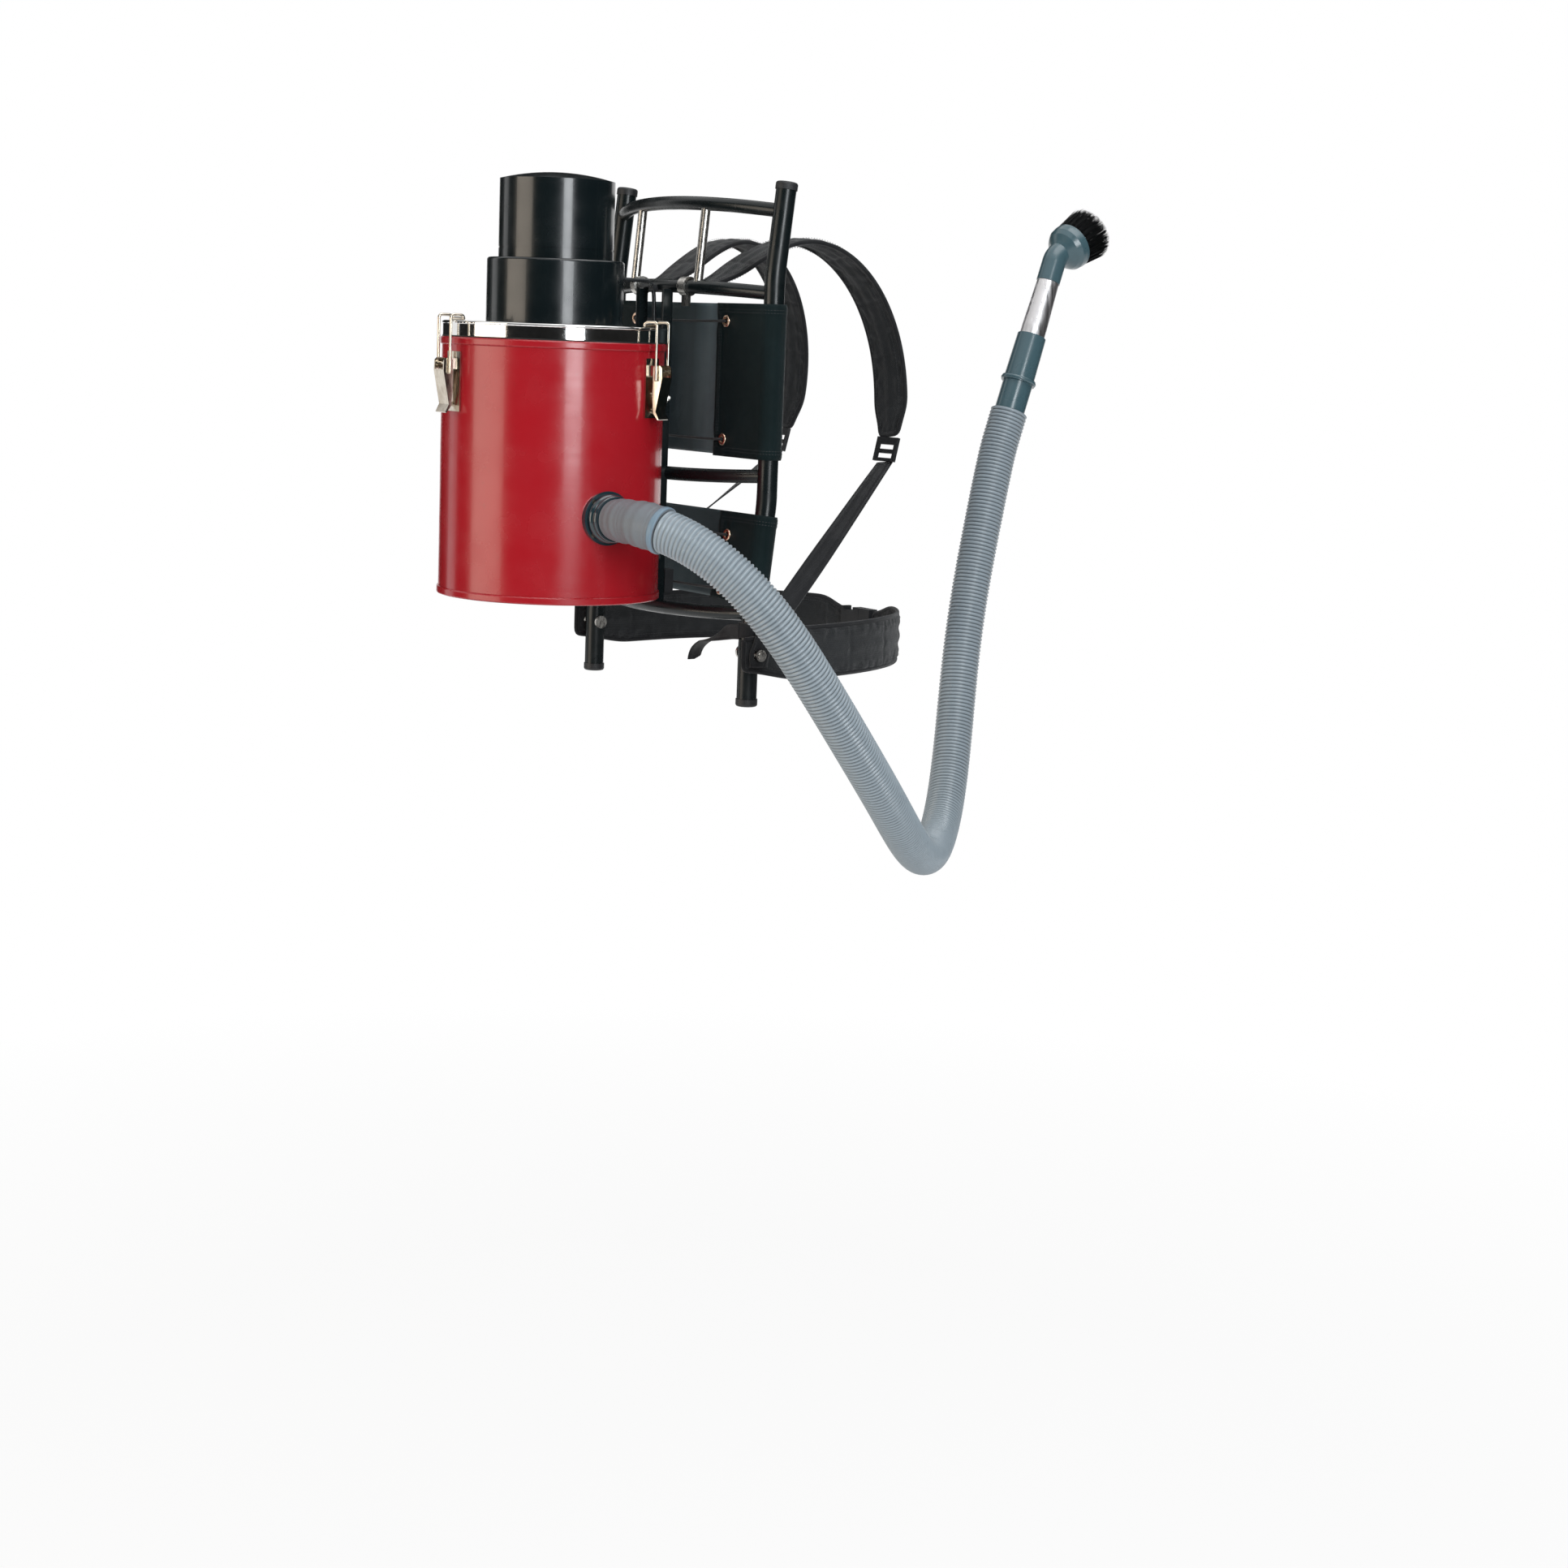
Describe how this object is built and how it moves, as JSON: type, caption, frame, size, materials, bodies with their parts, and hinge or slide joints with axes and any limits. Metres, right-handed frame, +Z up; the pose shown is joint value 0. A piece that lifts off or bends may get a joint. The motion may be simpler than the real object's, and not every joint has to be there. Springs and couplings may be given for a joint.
{
  "type": "backpack vacuum cleaner",
  "caption": "Red steel canister vacuum with latched lid and stepped motor head on a tubular pack frame with laced bands, harness, ribbed hose and brush wand.",
  "frame": {"origin": "front face of the back bands on the centre plane, where the wearer's back rests, 190 mm above the canister's lower edge", "axes": "+X to the wearer's right, +Y forward, away from the canister, +Z up"},
  "size_m": [0.5566, 1.0237, 0.843],
  "materials": {
    "frame_enamel": "gloss black enamel on steel tube",
    "can_enamel": "gloss red enamel",
    "lid_steel": "polished stainless steel",
    "housing_black": "semi-gloss black",
    "latch_nickel": "nickel plated steel",
    "plated_steel": "zinc plated steel",
    "eyelet_brass": "bright brass",
    "seal_rubber": "black rubber",
    "fan_aluminium": "pressed aluminium",
    "motor_steel": "laminated steel",
    "filter_fleece": "pleated filter fleece",
    "black_plastic": "fine texture",
    "lead_sheath": "smooth black sheath",
    "band_cloth": "coated woven nylon",
    "pad_cloth": "woven nylon over foam",
    "webbing": "woven nylon tape",
    "hose_grey": "soft satin",
    "cuff_grey": "soft satin",
    "collar_dark": "gloss",
    "wand_teal": "satin gloss",
    "wand_steel": "bright metal tube",
    "bristle_black": "nylon bristles"
  },
  "bodies": {
    "pack": {"upright_right": "frame_enamel", "upright_left": "frame_enamel", "top_bar": "frame_enamel", "second_bar": "frame_enamel", "middle_bar": "frame_enamel", "bottom_bar": "frame_enamel", "load_rods": "plated_steel", "upright_caps": "black_plastic", "mount_rails": "frame_enamel", "can_saddles": "frame_enamel", "mount_bolts": "plated_steel", "canister": "can_enamel", "inlet_flange": "collar_dark", "can_rivets": "latch_nickel", "latch_bases": "latch_nickel", "latch_pins": "latch_nickel", "lid_gasket": "seal_rubber", "lid": "lid_steel", "lower_motor_housing": "housing_black", "upper_motor_housing": "housing_black", "dome_cap": "housing_black", "fan_casing": "fan_aluminium", "motor_casing": "motor_steel", "motor_bearings": "motor_steel", "motor_gasket": "seal_rubber", "filter_cartridge": "filter_fleece", "filter_rod": "plated_steel", "filter_nut": "eyelet_brass", "switch_body": "black_plastic", "lead": "lead_sheath", "lead_clips": "black_plastic", "lead_gland": "black_plastic", "power_inlet": "black_plastic", "upper_band": "band_cloth", "lower_band": "band_cloth", "band_eyelets": "eyelet_brass", "lacing_cords": "band_cloth", "shoulder_pads": "pad_cloth", "strap_webbing": "webbing", "strap_buckles": "black_plastic", "strap_anchors": "plated_steel", "clevis_pins": "plated_steel", "waist_belt": "pad_cloth", "belt_buckle": "black_plastic", "strap_tail": "webbing", "hose_cuff": "cuff_grey", "hose": "hose_grey"},
    "lever_rear": {"latch_lever_rear": "latch_nickel"},
    "lever_right": {"latch_lever_right": "latch_nickel"},
    "lever_left": {"latch_lever_left": "latch_nickel"},
    "bail_rear": {"latch_bail_rear": "latch_nickel"},
    "bail_right": {"latch_bail_right": "latch_nickel"},
    "bail_left": {"latch_bail_left": "latch_nickel"},
    "rocker": {"switch_rocker": "black_plastic"},
    "collar": {"swivel_collar": "collar_dark"},
    "rotor": {"motor_rotor": "motor_steel"},
    "wand": {"wand_cuff": "wand_teal", "wand_tube": "wand_steel"},
    "brush": {"brush_head": "wand_teal", "brush_bristles": "bristle_black"}
  },
  "joints": [
    {"name": "latch_rear_lever", "type": "hinge", "parent": "pack", "child": "lever_rear", "pos_m": [0, -0.3498, 0.078], "axis": [-1, 0, 0], "range_deg": [0, 150]},
    {"name": "latch_rear_bail", "type": "hinge", "parent": "lever_rear", "child": "bail_rear", "pos_m": [0, -0.3493, 0.068], "axis": [-1, 0, 0], "range_deg": [-213, 0]},
    {"name": "latch_right_lever", "type": "hinge", "parent": "pack", "child": "lever_right", "pos_m": [0.12471, -0.1338, 0.078], "axis": [0.5, -0.866, 0], "range_deg": [0, 150]},
    {"name": "latch_right_bail", "type": "hinge", "parent": "lever_right", "child": "bail_right", "pos_m": [0.12427, -0.13405, 0.068], "axis": [0.5, -0.866, 0], "range_deg": [-213, 0]},
    {"name": "latch_left_lever", "type": "hinge", "parent": "pack", "child": "lever_left", "pos_m": [-0.12471, -0.1338, 0.078], "axis": [0.5, 0.866, 0], "range_deg": [0, 150]},
    {"name": "latch_left_bail", "type": "hinge", "parent": "lever_left", "child": "bail_left", "pos_m": [-0.12427, -0.13405, 0.068], "axis": [0.5, 0.866, 0], "range_deg": [-213, 0]},
    {"name": "switch_tip", "type": "hinge", "parent": "pack", "child": "rocker", "pos_m": [-0.08, -0.2058, 0.16], "axis": [0, 1, 0], "range_deg": [0, 24]},
    {"name": "collar_turn", "type": "hinge", "parent": "pack", "child": "collar", "pos_m": [0.14, -0.2058, -0.09], "axis": [1, 0, 0], "continuous": true},
    {"name": "motor_spin", "type": "hinge", "parent": "pack", "child": "rotor", "pos_m": [0, -0.2058, 0.19], "axis": [0, 0, 1], "continuous": true},
    {"name": "wand_turn", "type": "hinge", "parent": "pack", "child": "wand", "pos_m": [-0.028, 0.512, 0.035], "axis": [-0.0441, 0.3392, 0.9397], "continuous": true},
    {"name": "brush_turn", "type": "hinge", "parent": "wand", "child": "brush", "pos_m": [-0.03659, 0.57814, 0.21824], "axis": [-0.0441, 0.3392, 0.9397], "continuous": true}
  ],
  "couplings": [
    {"joint": "latch_rear_bail", "follows": "latch_rear_lever", "ratio": -1.42},
    {"joint": "latch_right_bail", "follows": "latch_right_lever", "ratio": -1.42},
    {"joint": "latch_left_bail", "follows": "latch_left_lever", "ratio": -1.42}
  ]
}
